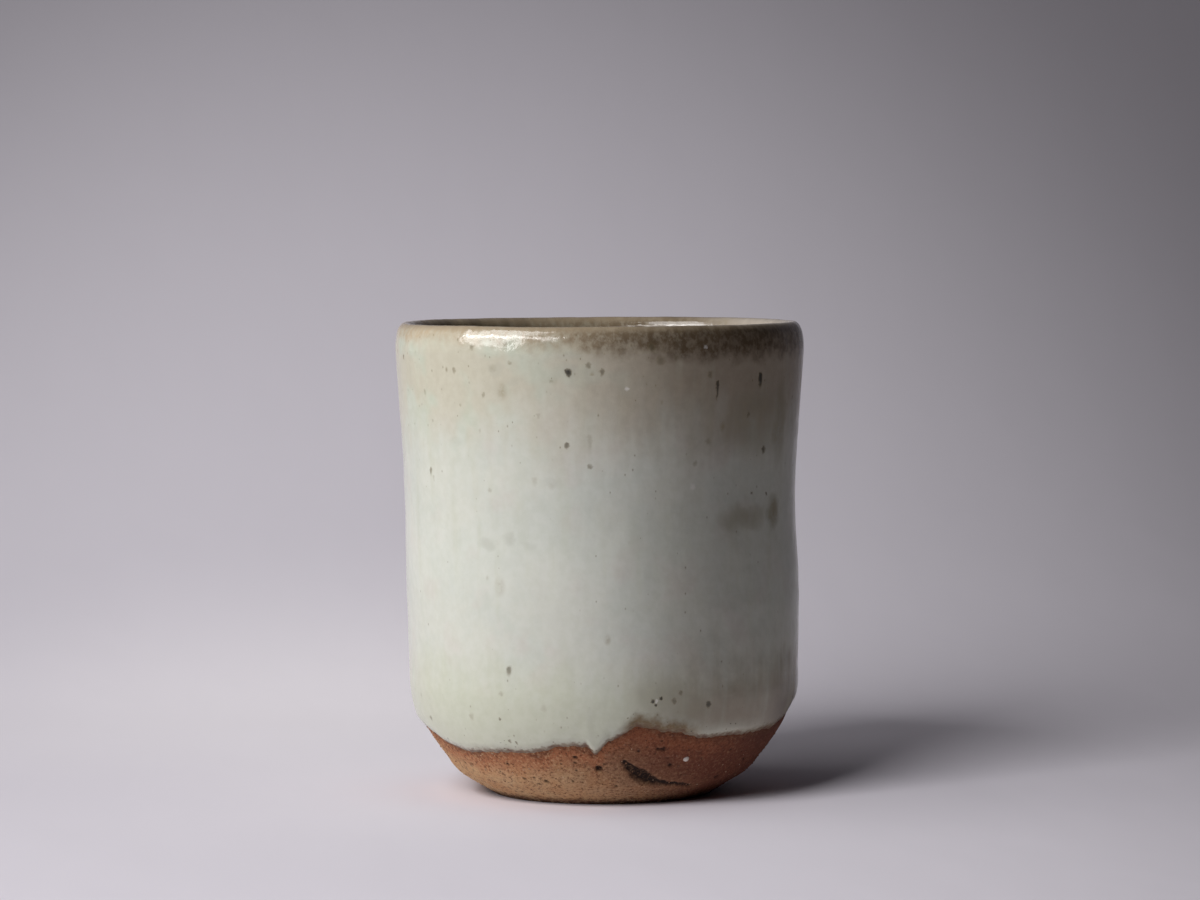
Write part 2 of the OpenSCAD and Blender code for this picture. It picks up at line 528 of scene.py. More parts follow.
def ringPlace(bench, radius, angle, height):
    x = bench.times(radius, bench.calc("SINE", angle))
    y = bench.times(radius, bench.calc("COSINE", angle), -1.0)
    return bench.join(x, y, height)


def sampleAt(bench, geometry, index, value=None, kind="FLOAT_VECTOR"):
    # a value at one point of a geometry, the point's place if no other is given
    if value is None:
        value = bench.output("GeometryNodeInputPosition")
    inputs = {"Geometry": geometry, "Value": value, "Index": index}
    return bench.output("GeometryNodeSampleIndex", inputs, data_type=kind, domain="POINT", clamp=True)


def pointCount(bench, geometry):
    return bench.add("GeometryNodeAttributeDomainSize", {"Geometry": geometry}).outputs["Point Count"]


def setPlace(bench, mesh, **moves):
    return bench.output("GeometryNodeSetPosition", {"Geometry": mesh, **moves})


def storeValue(bench, mesh, name, value, domain="POINT"):
    inputs = {"Geometry": mesh, "Name": name, "Value": value}
    return bench.output("GeometryNodeStoreNamedAttribute", inputs, data_type="FLOAT", domain=domain)


def storedValue(bench, name):
    return bench.output("GeometryNodeInputNamedAttribute", {"Name": name}, data_type="FLOAT")


# Ripples of the glaze in millimetres

ripples = {"broad": 6.0, "fine": 1.6, "fineShare": 0.3, "held": (0.05, 1.2)}


def glazeRipple(bench, place, away):
    # held back where two coats meet
    broad = bench.sway(place, ripples["broad"] * mm, 1.0)
    fine = bench.sway(place, ripples["fine"] * mm, ripples["fineShare"])
    return bench.times(bench.plus(broad, fine), bench.rise(away, ripples["held"]))


handThrown = makeWobble()
edgeLine = makeGlazeEdge()
ringGrid = makeRingGrid()
closeUp = makeCloseUp()


def makeWheel():
    # turns a profile into a full round, shaken a little as a hand does
    group, bench, given, result = newGroup(
        "throwOnWheel", "GeometryNodeTree",
        {"Profile": "Geometry", "Segments": thrown["segments"], "Glaze Swell": 0.0, "Swell From": 0.0,
         "Material": "Material"},
        {"Mesh": "Geometry"})
    ring = bench.use(ringGrid, Rows=pointCount(bench, given["Profile"]), Segments=given["Segments"])
    radius, _, height = bench.split(sampleAt(bench, given["Profile"], ring["Row"]))
    place = ringPlace(bench, radius, ring["Angle"], height)
    thrownMesh = setPlace(bench, ring["Mesh"], Position=bench.use(handThrown, Position=place)["Position"])
    closed = bench.use(closeUp, Mesh=thrownMesh, Material=given["Material"])["Mesh"]
    here = bench.output("GeometryNodeInputPosition")
    normal = bench.output("GeometryNodeInputNormal")
    away = bench.calc("ABSOLUTE", bench.minus(bench.split(here)[2], given["Swell From"]))
    swell = bench.times(glazeRipple(bench, here, away), given["Glaze Swell"])
    swelled = setPlace(bench, closed, Offset=bench.stretch(normal, swell))
    bench.give(result, Mesh=swelled)
    return group


wheel = makeWheel()
print("geometry groups ready")


# Shader groups that the finishes share

def tint(red, green, blue):
    # a colour as it looks in full light, turned into the numbers a shader needs
    def linear(value):
        share = value / 255
        return share / 12.92 if share <= 0.04045 else ((share + 0.055) / 1.055) ** 2.4
    return (linear(red), linear(green), linear(blue), 1.0)


# Scattered spots: gap in millimetres, size as a share of the gap, strength

speckles = {
    "dust": (1.05, 0.26, 0.5),
    "dots": (3.4, 0.16, 0.45),
    "smudges": (5.0, 0.3, 1.0),
    "edge": (0.7, 0.45, 0.85),  # along the lower edge of the glaze
    "chalk": (0.95, 0.36, 1.0),  # in the bare clay
    "soot": (1.0, 0.34, 1.0),
}
smallestSpeck = 0.3  # share of the largest
elsewhere = (0.1, 0.2, 0.3)  # keeps one scatter from falling on another


def makeWallMap():
    # the wall rolled out flat: metres round from the front, and height
    group, bench, given, result = newGroup(
        "wallMap", "ShaderNodeTree", {}, {
            "Map": "Vector", "Angle": "Float", "Height": "Float", "Radius": "Float", "Place": "Vector"})
    place = bench.add("ShaderNodeTexCoord").outputs["Object"]
    x, y, z = bench.split(place)
    angle = bench.calc("ARCTAN2", x, bench.times(y, -1.0))
    flat = bench.join(bench.times(angle, thrown["waist"][0] * mm), z)
    radius = bench.vector("LENGTH", bench.join(x, y))
    bench.give(result, Map=flat, Angle=angle, Height=z, Radius=radius, Place=place)
    return group


def makeSpot():
    # one soft spot on the rolled out wall, with a run below it
    group, bench, given, result = newGroup(
        "spot", "ShaderNodeTree",
        {"Around": 0.0, "Height": 0.0, "Middle": 0.0, "Level": 0.0, "Half Width": 0.001, "Half Height": 0.001,
         "Run": 0.0, "Core": 0.1, "Strength": 1.0},
        {"Mask": "Float"})
    wide = bench.calc("DIVIDE", 1.0, given["Half Width"])
    tall = bench.calc("DIVIDE", 1.0, given["Half Height"])
    x = bench.calc("MULTIPLY_ADD", given["Around"], wide, bench.times(given["Middle"], wide, -1.0))
    y = bench.calc("MULTIPLY_ADD", given["Height"], tall, bench.times(given["Level"], tall, -1.0))
    shorter = bench.calc("DIVIDE", given["Half Height"], bench.plus(given["Half Height"], given["Run"]))
    y = bench.most(y, bench.times(y, shorter))
    away = bench.calc("MULTIPLY_ADD", y, y, bench.times(x, x))
    bench.give(result, Mask=bench.ramp(away, 1.0, given["Core"], 0.0, given["Strength"]))
    return group


def makeSpeckle():
    # scattered spots: share of the cells that hold one, and its size as a share of the gap
    group, bench, given, result = newGroup(
        "speckle", "ShaderNodeTree",
        {"Place": (0.0, 0.0, 0.0), "Gap": 0.002, "Share": 0.3, "Size": 0.3}, {"Mask": "Float"})
    cells = bench.add("ShaderNodeTexVoronoi", {"Vector": given["Place"]})
    bench.feed(cells.inputs["Scale"], bench.calc("DIVIDE", 1.0, given["Gap"]))
    pick, grow, _ = bench.split(cells.outputs["Color"])
    chosen = bench.calc("LESS_THAN", pick, given["Share"])
    size = bench.times(given["Size"], bench.calc("MULTIPLY_ADD", grow, 1 - smallestSpeck, smallestSpeck))
    spot = bench.ramp(cells.outputs["Distance"], size, 0.0)
    bench.give(result, Mask=bench.times(spot, chosen))
    return group


wallMap = makeWallMap()
spot = makeSpot()
speckle = makeSpeckle()


def scatter(bench, place, name, share):
    gap, size, strength = speckles[name]
    specks = bench.use(speckle, Place=place, Gap=gap * mm, Share=share, Size=size)["Mask"]
    return bench.times(specks, strength)


# Iron spots that stand out: angle, height, size and run in millimetres, strength

ironSpots = [
    (-8.9, 62.8, 0.52, 0.5, 1.0), (50.2, 61.8, 0.5, 2.0, 1.0), (33.8, 60.9, 0.36, 2.8, 0.85),
    (-9.6, 52.5, 0.42, 0.3, 0.65), (-3.2, 53.6, 0.42, 2.4, 0.3), (-3.2, 49.4, 0.5, 0.0, 0.5),
    (-57.1, 48.4, 0.36, 1.0, 0.55), (-55.7, 47.4, 0.26, 0.8, 0.3), (-27.6, 20.6, 0.6, 0.7, 0.6),
    (31.6, 15.4, 0.5, 0.2, 0.8), (14.2, 16.2, 0.32, 0.0, 0.9), (15.1, 15.7, 0.32, 0.0, 0.9),
    (16.6, 16.6, 0.32, 0.0, 0.9), (53.4, 51.1, 0.6, 0.2, 0.7), (-3.5, 63.6, 0.5, 0.0, 0.5),
    (0.2, 62.8, 0.45, 0.5, 0.6), (-25.4, 63.9, 0.42, 0.0, 0.4), (-44.1, 62.9, 0.4, 0.6, 0.45),
    (-34.1, 59.5, 0.32, 0.6, 0.4), (-64.1, 12.2, 0.45, 0.3, 0.5), (-31.4, 13.3, 0.3, 0.0, 0.6),
    (20.5, 16.2, 0.5, 0.2, 0.55), (22.6, 17.3, 0.36, 0.2, 0.5), (-13.7, 61.4, 0.4, 0.0, 0.35),
    (-30.7, 63.2, 0.8, 0.0, 0.28), (31.1, 62.2, 0.5, 0.4, 0.5), (16.3, 64.2, 0.8, 0.0, 0.45),
    (45.5, 56.2, 0.42, 0.0, 0.5), (-17.4, 56.7, 0.32, 0.5, 0.3), (-35.7, 54.4, 0.32, 0.4, 0.3),
    (-42.3, 57.8, 0.3, 0.0, 0.35), (-54.6, 55.3, 0.3, 0.0, 0.35), (-57.8, 59.6, 0.4, 0.8, 0.35),
    (48.5, 45.0, 0.34, 0.0, 0.6), (55.9, 44.6, 0.36, 0.0, 0.7), (-30.2, 17.0, 0.5, 0.0, 0.35),
    (-41.8, 13.4, 0.55, 0.4, 0.35), (-17.1, 15.2, 0.6, 0.0, 0.25), (31.2, 52.7, 0.7, 0.0, 0.35),
    (27.2, 49.7, 0.45, 0.4, 0.4), (70.7, 58.2, 0.36, 0.0, 0.5), (76.7, 48.2, 0.3, 0.0, 0.5),
    (-70.7, 64.5, 0.26, 0.8, 0.55), (-77.6, 65.2, 0.3, 0.6, 0.4), (13.8, 66.2, 0.6, 0.4, 0.6),
    (-37.4, 66.2, 0.45, 0.3, 0.5), (-26.7, 66.7, 0.45, 0.2, 0.4), (20.6, 64.6, 0.5, 0.0, 0.4),
    (-29.5, 10.1, 0.36, 0.0, 0.6), (-19.0, 47.5, 0.5, 0.6, 0.25), (-14.0, 46.6, 0.6, 0.0, 0.22),
    (-33.0, 45.8, 0.4, 0.0, 0.3), (-165.5, 66.5, 0.5, 0.0, 1.0), (-27.2, 9.9, 0.3, 0.0, 0.6),
]

# Stains in the glaze: angle, height, half width, half height in millimetres, strength

oliveStains = [
    (46, 41.6, 6.5, 2.3, 0.5), (60, 41.9, 2.2, 3.3, 0.8), (49, 55.0, 8.0, 6.5, 0.44),
    (61, 55.0, 2.6, 8.0, 0.6), (16, 16.8, 5.0, 3.4, 0.2), (26, 14.6, 4.0, 2.4, 0.25),
    (78, 14.0, 6.0, 7.0, 0.9), (126, 47.0, 8.0, 6.0, 0.25), (205, 36.0, 7.0, 3.0, 0.3),
    (-121, 52.0, 6.0, 2.6, 0.16), (-112, 50.5, 3.2, 3.4, 0.14),
]
greyStains = [
    (-34, 38.4, 1.7, 1.5, 0.4), (-27.5, 39.0, 1.6, 1.2, 0.45), (-21, 38.2, 1.8, 0.8, 0.25),
    (-8.7, 63.0, 1.3, 1.4, 0.5), (-8.9, 65.0, 1.8, 1.0, 0.4), (-29, 63.0, 1.8, 0.9, 0.3),
    (-24, 60.8, 1.6, 0.9, 0.25), (-45, 52.6, 1.6, 0.9, 0.2), (-14, 46.9, 1.6, 1.2, 0.25),
    (150, 26.0, 5.0, 2.4, 0.4),
]
# Painted highlights, white dots where small bumps in the glaze catch the light: angle, height, size and run
# in millimetres, strength
glintDots = [(7.0, 60.3, 0.34, 0.0, 0.8), (29.5, 66.0, 0.3, 0.0, 0.7), (26.7, 46.3, 0.5, 0.0, 0.5),
           (15.4, 16.2, 0.24, 0.0, 0.9)]
spotLook = {
    "grow": 1.2,  # how much larger a spot is than its list says
    "core": -0.15,  # a spot is full at its middle for 0, nowhere quite full for less
    "stainCore": -0.1,
    "shake": (0.5, 0.7),  # size and reach in millimetres of the noise that shakes the spots
    "stainShake": (3.0, 3.0),
}

glazeTones = {
    "milk": tint(211, 213, 201),  # the thick pale glaze
    "mist": tint(206, 210, 199),  # where it is cooler
    "snow": tint(219, 222, 211),  # palest, half way up
    "blush": tint(208, 200, 191),
    "cream": tint(199, 195, 176),  # thinner, towards the lip
    "mint": tint(196, 204, 187),
    "dusk": tint(177, 165, 146),  # the same on the darker side
    "sand": tint(200, 203, 182),  # towards the foot
    "fawn": tint(174, 164, 145),  # the same on the darker side
    "veil": (0.89, 0.88, 0.86),  # painted shade: dims the whole right side of the glaze
    "toast": tint(186, 170, 144),  # the lip on the paler side
    "bark": tint(108, 92, 72),  # and on the darker side
    "worn": tint(166, 150, 126),  # the very edge of the lip
    "cellar": tint(112, 98, 78),  # inside: partly brown runs in the glaze, partly painted shade that is darkest on the left
    "pearl": tint(206, 197, 186),  # painted sheen on the inner wall at the right, where it faces the lamps
    "olive": tint(134, 124, 94),
    "ash": tint(178, 180, 166),
    "iron": tint(44, 42, 34),
    "rust": tint(140, 126, 94),
    "pool": tint(205, 208, 190),  # thick glaze gathered at the lower edge
    "husk": tint(122, 102, 68),  # so thin that the clay shows
    "scorch": tint(100, 66, 46),  # the thin line where the glaze ends
    # painted highlight: white where small bumps in the glaze catch the light
    "pin": tint(236, 233, 226),
}

# Noise in the glaze: size in millimetres, detail, roughness. A sway has its reach after its size.

glazeNoise = {
    "streak": (2.2, 3.0),
    "mottle": (1.3, 4.0, 0.6),
    "broad": (10, 4.0, 0.6),
    "warm": (6, 2.0),
    "patchy": (0.9, 4.0, 0.65),
    "satin": (2.2, 3.0),
    "peel": (3.5, 1.0),
    "finePeel": (1.1, 1.0),
    "levelSway": (8, 6, 4.0),
    "lipSway": (3.0, 2.2, 4.0),
    "lipRuns": (1.6, 0.4, 2.0),
    "edgeSway": (0.7, 0.6, 4.0),
    "thinSway": (2.2, 0.9, 3.0),
}

# Where a tone lies, as ramps that are multiplied: source, where it starts, where it is full, both shares

glazeFades = {
    # lengths in millimetres and angles in degrees, "right" from 0 at the cup's left to 1 at its right
    "mist": [("broad", 0.38, 0.62)],
    "blush": [("warm", 0.52, 0.7, 0.0, 0.35)],
    "snow": [("offPalest", 9, 1, 0.0, 0.4)],
    "mint": [("warm", 0.52, 0.34, 0.0, 0.7)],
    "dusk": [("right", 0.2, 0.8)],
    "upper": [("level", 46, 62)],
    "sand": [("level", 25, 14, 0.0, 0.85)],
    "fawn": [("level", 27, 12), ("right", 0.5, 0.84)],
    "sandRuns": [("streak", 0.5, 0.75, 0.0, 0.25)],
    # painted shade over the right side
    "veil": [("right", 0.52, 0.74)],
    "lowBark": [("level", 23.5, 13), ("right", 0.9, 0.98, 0.0, 0.95)],
    "stainWear": [("mottle", 0.25, 0.6, 0.6, 1.0)],
    "lip": [("lipLevel", -0.2, 2.4), ("patchy", 0.36, 0.6, 0.55, 1.0)],
    "lipFrom": [("right", 0.1, 0.85, 66.0 * mm, 63.4 * mm)],  # lower edge of the brown lip
    "lipBark": [("right", 0.1, 0.7)],
    "turnedIn": [("radius", 28.9, 28.2), ("height", 58, 62)],
    # painted sheen inside on the right
    "pearl": [("right", 0.7, 0.96, 0.0, 0.85)],
    "crest": [("height", 67.9, 68.8), ("right", 0.5, 0.75, 0.75, 0.3)],
    # painted shade inside, broken up by brown runs
    "cellarRuns": [("streak", 0.3, 0.65, 0.95, 0.5)],
    "cellar": [("right", 0.1, 0.7, 0.9, 0.2)],
    "pool": [("above", 3.0, 0.6), ("right", 0.8, 0.97, 0.6, 0.0)],
    "arch": [("angle", 3, 9), ("angle", 33, 24), ("thinLevel", 2.6, 0.7),
             ("mottle", 0.25, 0.5, 0.75, 1.0)],
    "thinEdge": [("ragged", 1.0, 0.2, 0.0, 0.6)],
    "scorch": [("ragged", 0.75, 0.15), ("mottle", 0.38, 0.6, 0.3, 0.95)],
    "richTop": [("height", 40, 64, 0.22, 0.75)],  # share of the cells with a speck
    "richFoot": [("height", 24, 11, 0.22, 0.5)],
    "richEdge": [("above", 2.0, 0.5, 0.0, 0.9)],
    "pepperEdge": [("above", 2.2, 0.3, 0.0, 0.95)],
    "smudges": [("mottle", 0.4, 0.6, 0.15, 0.6)],
    "rustRing": [("iron", 0.0, 0.6, 0.0, 0.5)],
    "iron": [("iron", 0.18, 1.0, 0.0, 0.95)],
    "cloud": [("mottle", 0.3, 0.7)],
    "gloss": [("satin", 0.3, 0.7, 0.1, 0.22)],  # roughness
    "dryEdge": [("ragged", 1.2, 0.2, 0.0, 0.3)],
}
glazeLook = {
    "runLength": 0.09,  # runs in the glaze are stretched up the wall by one over this
    "patchLength": 0.75,  # the same for the patches of the lip, and for the specks
    "speckLength": 0.65,
    "streakReach": 10.0,  # millimetres over which the runs spread a tone up and down
    "palest": 36.0,  # height where the glaze is palest
    # strength of the painted sheen inside
    "pearlShare": 0.8,
    "archPepper": 0.6,
    "clouding": 0.22,
    "cloudDark": (0.4, 0.4, 0.4),
    "cloudPale": (0.6, 0.6, 0.6),
    "ironRough": 0.12,
    "finePeel": 0.45,
}


def spotMask(bench, flatMap, spots, core):
    # spots given as angle, height, half width, half height, run and strength
    around, level, _ = bench.split(flatMap)
    mask = 0.0
    for angle, height, halfWidth, halfHeight, run, strength in spots:
        mark = bench.use(
            spot, Around=around, Height=level, Middle=math.radians(angle) * thrown["waist"][0] * mm,
            Level=height * mm, Half_Width=halfWidth * mm, Half_Height=halfHeight * mm, Run=run * mm,
            Core=core, Strength=strength)["Mask"]
        mask = bench.most(mask, mark)
    return mask


def ironMask(bench, flatMap, spots):
    grow = spotLook["grow"]
    grown = [(angle, height, size * grow, size * grow, *rest) for angle, height, size, *rest in spots]
    return spotMask(bench, flatMap, grown, spotLook["core"])


def stainMask(bench, flatMap, stains):
    still = [(*place, 0.0, strength) for *place, strength in stains]
    return spotMask(bench, flatMap, still, spotLook["stainCore"])


def shaken(bench, place, flatMap, size, reach):
    # the rolled out wall with its places shaken by noise
    shake = bench.add("ShaderNodeTexNoise", {"Vector": place, "Scale": 1 / (size * mm), "Detail": 3.0})
    shake = bench.vector("SUBTRACT", shake.outputs["Color"], (0.5, 0.5, 0.5))
    return bench.vector("ADD", flatMap, bench.stretch(shake, reach * mm))


def makeGlazeCoat():
    group, bench, given, result = newGroup(
        "glazeCoat", "ShaderNodeTree", {"Above Edge": 0.05, "Inside": 0.0},
        {"Color": "Color", "Roughness": "Float", "Height": "Float"})
    wall = bench.use(wallMap)
    place, height, above = wall["Place"], wall["Height"], given["Above Edge"]
    layers = Layers(bench, glazeTones, glazeFades, glazeNoise)
    layers.know(right=bench.calc("MULTIPLY_ADD", bench.calc("SINE", wall["Angle"]), 0.5, 0.5))
    layers.know(mm, height=height, above=above, radius=wall["Radius"])
    layers.know(degree, angle=wall["Angle"])
    runs = bench.vector("MULTIPLY", wall["Map"], (1.0, glazeLook["runLength"], 1.0))
    streak = layers.noise("streak", runs)
    for name in ("mottle", "broad", "warm", "satin"):
        layers.noise(name, place)

    # broad tones from foot to lip
    level = bench.calc("MULTIPLY_ADD", bench.minus(streak, 0.5), glazeLook["streakReach"] * mm, height)
    level = layers.sway("levelSway", level, place)
    offPalest = bench.calc("ABSOLUTE", bench.minus(level, glazeLook["palest"] * mm))
    layers.know(mm, level=level, offPalest=offPalest)
    layers.start("cream")
    layers.lay("mint")
    layers.lay("dusk")
    upper = layers.color
    layers.start("milk")
    for tone in ("mist", "blush", "snow"):
        layers.lay(tone)
    layers.lay(upper, "upper")
    layers.lay("sand")
    layers.lay("fawn")
    layers.lay("sand", "sandRuns")
    # painted shade: the whole right side made a little darker
    layers.lay("veil", how="MULTIPLY")
    layers.lay("bark", "lowBark")

    # stains
    stainMap = shaken(bench, place, wall["Map"], *spotLook["stainShake"])
    layers.lay("olive", stainMask(bench, stainMap, oliveStains), "stainWear")
    layers.lay("ash", stainMask(bench, stainMap, greyStains), "stainWear")

    # brown lip: a narrow worn band on the paler side, wide and dark on the other, left out inside on the
    # right where a sheen is painted
    lipLevel = layers.sway("lipRuns", layers.sway("lipSway", height, place), runs)
    layers.know(mm, lipLevel=bench.minus(lipLevel, layers.fade("lipFrom")))
    layers.noise("patchy", bench.vector("MULTIPLY", wall["Map"], (1.0, glazeLook["patchLength"], 1.0)))
    lipTone = bench.paint(layers.fade("lipBark"), glazeTones["toast"], glazeTones["bark"])
    inside = bench.most(given["Inside"], layers.fade("turnedIn"))
    # painted sheen: the inner wall at the right loses the brown lip and takes a pale tone
    innerSheenMask = bench.times(inside, layers.fade("pearl"))
    layers.lay(lipTone, "lip", bench.minus(1.0, innerSheenMask))
    layers.lay("worn", "crest")
    layers.lay("pearl", innerSheenMask, glazeLook["pearlShare"])
    # painted shade inside the cup, darkest on the left and broken by brown runs
    layers.lay("cellar", inside, "cellarRuns", "cellar")

    # lower edge: gathered thick, thin over the arch, then a broken scorched line
    ragged = layers.sway("edgeSway", above, place)
    layers.know(mm, ragged=ragged, thinLevel=layers.sway("thinSway", ragged, place))
    layers.lay("pool")
    thin = bench.most(layers.fade("arch"), layers.fade("thinEdge"))
    layers.lay("husk", thin)
    layers.lay("scorch")

    # iron: scattered spots and smudges, then the ones that stand out
    rich = bench.most(*[layers.fade(name) for name in ("richTop", "richFoot", "richEdge")])
    longer = bench.vector("MULTIPLY", place, (1.0, 1.0, glazeLook["speckLength"]))
    smudges = scatter(bench, bench.vector("ADD", longer, elsewhere), "smudges", rich)
    layers.lay("rust", smudges, "smudges")
    peppered = bench.plus(bench.times(thin, glazeLook["archPepper"]), layers.fade("pepperEdge"))
    scattered = bench.most(scatter(bench, longer, "dust", rich), scatter(bench, longer, "dots", rich),
                           scatter(bench, place, "edge", peppered))
    spotMap = shaken(bench, place, wall["Map"], *spotLook["shake"])
    iron = bench.most(scattered, ironMask(bench, spotMap, ironSpots))
    layers.know(iron=iron)
    layers.lay("rust", "rustRing")
    layers.lay("iron")
    # painted highlights on small bumps of the glaze
    layers.lay("pin", ironMask(bench, spotMap, glintDots))

    # soft clouding over all of it
    cloud = bench.paint(layers.fade("cloud"), glazeLook["cloudDark"], glazeLook["cloudPale"])
    layers.lay(cloud, glazeLook["clouding"], how="OVERLAY")
    bench.give(result, Color=layers.color)

    rough = bench.plus(layers.fade("gloss"), layers.fade("dryEdge"))
    bench.give(result, Roughness=bench.calc("MULTIPLY_ADD", iron, glazeLook["ironRough"], rough))
    finePeel = layers.noise("finePeel", place)
    peel = layers.noise("peel", place)
    bench.give(result, Height=bench.calc("MULTIPLY_ADD", finePeel, glazeLook["finePeel"], peel))
    return group


glazeCoat = makeGlazeCoat()


def newFinish(name):
    material = bpy.data.materials.new(name)
    material.use_nodes = True
    material.node_tree.nodes.clear()
    bench = Bench(material.node_tree)
    shader = bench.add("ShaderNodeBsdfPrincipled")
    bench.add("ShaderNodeOutputMaterial", {"Surface": shader.outputs[0]})
    return material, bench, shader


def attribute(bench, name):
    return bench.add("ShaderNodeAttribute", attribute_name=name).outputs["Fac"]


def bump(bench, shader, height, reach):
    made = bench.add("ShaderNodeBump", {"Height": height, "Distance": reach * mm, "Strength": 1.0})
    bench.feed(shader.inputs["Normal"], made.outputs[0])


def glazeFinish(name, peel, hasEdge=False, inside=0.0):
    material, bench, shader = newFinish(name)
    inputs = {"Inside": inside}
    if hasEdge:
        inputs["Above_Edge"] = attribute(bench, "aboveEdge")
    coat = bench.use(glazeCoat, **inputs)
    bench.give(shader.inputs, Base_Color=coat["Color"], Roughness=coat["Roughness"])
    bump(bench, shader, coat["Height"], peel)
    return material


clayTones = {
    "straw": tint(208, 173, 131),
    "ochre": tint(197, 153, 110),
    "fox": tint(174, 106, 70),  # near the glaze
    "brick": tint(116, 64, 46),  # redder brown clay on one side, darkened further by painted shade
    "wine": tint(88, 46, 38),  # the same near the glaze, also darkened by painted shade
    "umber": tint(96, 60, 42),
    "chalk": tint(226, 202, 170),
    "soot": tint(40, 27, 21),
}

# Noise and fades of the bare clay, given as those of the glaze are

clayNoise = {
    "patch": (4, 4.0, 0.6),
    "sand": (0.48, 4.0, 0.7),
    "turnSway": (4, 16, 3.0),  # reach in degrees
    "edgeSway": (3, 1.8, 4.0),
    "footSway": (1.0, 0.7, 3.0),
}
clayFades = {
    "straw": [("patch", 0.35, 0.65)],
    # painted shade on the right side, over clay that is redder there
    "brick": [("turned", -44.0, 42.0), ("turned", 170.0, 110.0)],
    "fox": [("below", -4.5, -0.8), ("dark", 0.5, 1.0, 0.85, 0.45)],
    "wine": [("below", -5.0, -1.0), ("angle", 30, 62, 0.0, 0.85)],
    "edgeUmber": [("below", -1.2, 0.2, 0.0, 0.6)],
    # darker in the lowest millimetre where the cup stands: partly soot, partly painted contact shade
    "footUmberAndShade": [("low", 1.3, 0.3, 0.0, 0.9)],
    "footSootAndShade": [("low", 0.7, 0.0, 0.0, 0.6)],
    "paleSand": [("sand", 0.5, 0.68), ("dark", 0.3, 1.0, 0.65, 0.2)],
    "darkSand": [("sand", 0.5, 0.32, 0.0, 0.85)],
    "chalk": [("dark", 0.2, 1.0, 0.5, 0.12)],
    # painted shade in the pits
    "hollow": [("sand", 0.75, 0.45, 0.55, 1.0)],
}
fired = {
    "climb": 4.0,  # degrees that the dark side moves on for each millimetre up
    "climbFrom": 6.0,
    "chalkShare": 0.42,  # share of the cells with a speck
    "sootShare": 0.38,
    "sootStrength": 0.8,
    "sandRelief": 0.8,
    "patchRelief": 0.4,
    "chalkRelief": 0.4,
    "sootRelief": -0.5,
    "relief": 0.4,  # millimetres
    "rough": 0.85,
    "shine": 0.25,
}


def makeSandyClay():
    # sandy stoneware: redder near the glaze, redder and darker with painted shade on one side, pale and dark
    # grains all over
    group, bench, given, result = newGroup(
        "sandyClay", "ShaderNodeTree", {"Above Edge": -0.003, "Hollow": 0.0},
        {"Color": "Color", "Height": "Float"})
    wall = bench.use(wallMap)
    place, angle, height = wall["Place"], wall["Angle"], wall["Height"]
    layers = Layers(bench, clayTones, clayFades, clayNoise)
    patch = layers.noise("patch", place)
    climb = fired["climb"] * degree / mm
    turned = layers.sway("turnSway", angle, place, degree)
    turned = bench.plus(turned, bench.calc("MULTIPLY_ADD", height, climb, -fired["climbFrom"] * mm * climb))
    layers.know(degree, angle=angle, turned=turned)
    layers.know(mm, below=layers.sway("edgeSway", given["Above Edge"], place))
    # the right side: redder clay with painted shade over it
    dark = layers.fade("brick")
    layers.know(dark=dark)
    layers.start("ochre")
    layers.lay("straw")
    layers.lay("brick", dark)
    layers.lay("fox")
    # painted shade also near the glaze on the right
    layers.lay("wine")
    layers.lay("umber", "edgeUmber")
    layers.know(mm, low=layers.sway("footSway", height, place))
    # partly soot, partly painted contact shade at the foot
    layers.lay("umber", "footUmberAndShade")
    layers.lay("soot", "footSootAndShade")

    # grains
    sand = layers.noise("sand", place)
    layers.lay("straw", "paleSand")
    layers.lay("umber", "darkSand")
    chalk = scatter(bench, place, "chalk", fired["chalkShare"])
    layers.lay("chalk", chalk, "chalk")
    soot = scatter(bench, bench.vector("ADD", place, elsewhere), "soot", fired["sootShare"])
    layers.lay("soot", soot, fired["sootStrength"])
    # painted shade in the pits and the gouge
    layers.lay("soot", given["Hollow"], "hollow")
    bench.give(result, Color=layers.color)
    relief = bench.times(patch, fired["patchRelief"])
    for grains, much in ((sand, "sandRelief"), (chalk, "chalkRelief"), (soot, "sootRelief")):
        relief = bench.calc("MULTIPLY_ADD", grains, fired[much], relief)
    bench.give(result, Height=relief)
    return group


sandyClay = makeSandyClay()


def clayFinish():
    material, bench, shader = newFinish("bareClay")
    clay = bench.use(sandyClay, Above_Edge=attribute(bench, "aboveEdge"), Hollow=attribute(bench, "hollow"))
    bench.give(shader.inputs, Base_Color=clay["Color"], Roughness=fired["rough"],
               Specular_IOR_Level=fired["shine"])
    bump(bench, shader, clay["Height"], fired["relief"])
    return material


print("shared groups and finishes ready")

# Clay body

